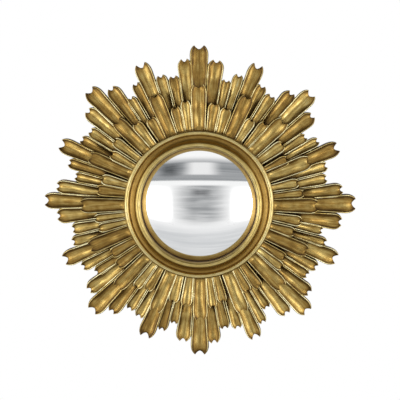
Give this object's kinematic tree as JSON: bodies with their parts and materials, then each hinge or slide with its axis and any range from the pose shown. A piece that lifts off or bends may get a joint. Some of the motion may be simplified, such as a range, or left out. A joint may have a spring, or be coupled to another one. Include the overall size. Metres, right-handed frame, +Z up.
{
  "type": "convex sunburst wall mirror",
  "caption": "Round convex butler's mirror in a gilt sunburst frame of two tiers of fluted rays, hung on a wall from a ring.",
  "frame": {"origin": "on the mirror's axis, in the plane of the wall that its back rests on", "axes": "+Z up the wall, +Y into the wall, so the glass faces -Y; +X to the right as seen from the front"},
  "size_m": [0.44, 0.0402, 0.44],
  "materials": {
    "gilt_lower": "carved wood, antiqued gold leaf with dark wash",
    "gilt_upper": "carved wood, antiqued gold leaf",
    "gilt_bezel": "turned wood, burnished gold leaf",
    "mirror": "silvered convex glass",
    "hub": "stained wood",
    "board": "hardboard",
    "foam": "closed-cell foam",
    "steel": "zinc-plated steel",
    "felt": "felt"
  },
  "bodies": {
    "frame": {"back_board": "board", "bezel": "gilt_bezel", "board_staples": "steel", "cushion_blocks": "foam", "hanger_screw": "steel", "hanger_strap": "steel", "hub_ring": "hub", "lower_broad_ray_1": "gilt_lower", "lower_broad_ray_2": "gilt_lower", "lower_broad_ray_3": "gilt_lower", "lower_broad_ray_4": "gilt_lower", "lower_broad_ray_5": "gilt_lower", "lower_broad_ray_6": "gilt_lower", "lower_broad_ray_7": "gilt_lower", "lower_broad_ray_8": "gilt_lower", "lower_long_ray_1": "gilt_lower", "lower_long_ray_2": "gilt_lower", "lower_long_ray_3": "gilt_lower", "lower_long_ray_4": "gilt_lower", "lower_long_ray_5": "gilt_lower", "lower_long_ray_6": "gilt_lower", "lower_long_ray_7": "gilt_lower", "lower_long_ray_8": "gilt_lower", "lower_short_rays_1": "gilt_lower", "lower_short_rays_2": "gilt_lower", "lower_short_rays_3": "gilt_lower", "lower_short_rays_4": "gilt_lower", "mirror_glass": "mirror", "upper_broad_ray_1": "gilt_upper", "upper_broad_ray_2": "gilt_upper", "upper_broad_ray_3": "gilt_upper", "upper_broad_ray_4": "gilt_upper", "upper_broad_ray_5": "gilt_upper", "upper_broad_ray_6": "gilt_upper", "upper_broad_ray_7": "gilt_upper", "upper_broad_ray_8": "gilt_upper", "upper_long_ray_1": "gilt_upper", "upper_long_ray_2": "gilt_upper", "upper_long_ray_3": "gilt_upper", "upper_long_ray_4": "gilt_upper", "upper_long_ray_5": "gilt_upper", "upper_long_ray_6": "gilt_upper", "upper_long_ray_7": "gilt_upper", "upper_long_ray_8": "gilt_upper", "upper_short_rays_1": "gilt_upper", "upper_short_rays_2": "gilt_upper", "upper_short_rays_3": "gilt_upper", "upper_short_rays_4": "gilt_upper", "wall_pads": "felt"},
    "ring": {"hanger_ring": "steel"}
  },
  "joints": [
    {"name": "hanger_swing", "type": "hinge", "parent": "frame", "child": "ring", "pos_m": [0, -0.00275, 0.128], "axis": [-1, 0, 0], "range_deg": [0, 170]}
  ]
}
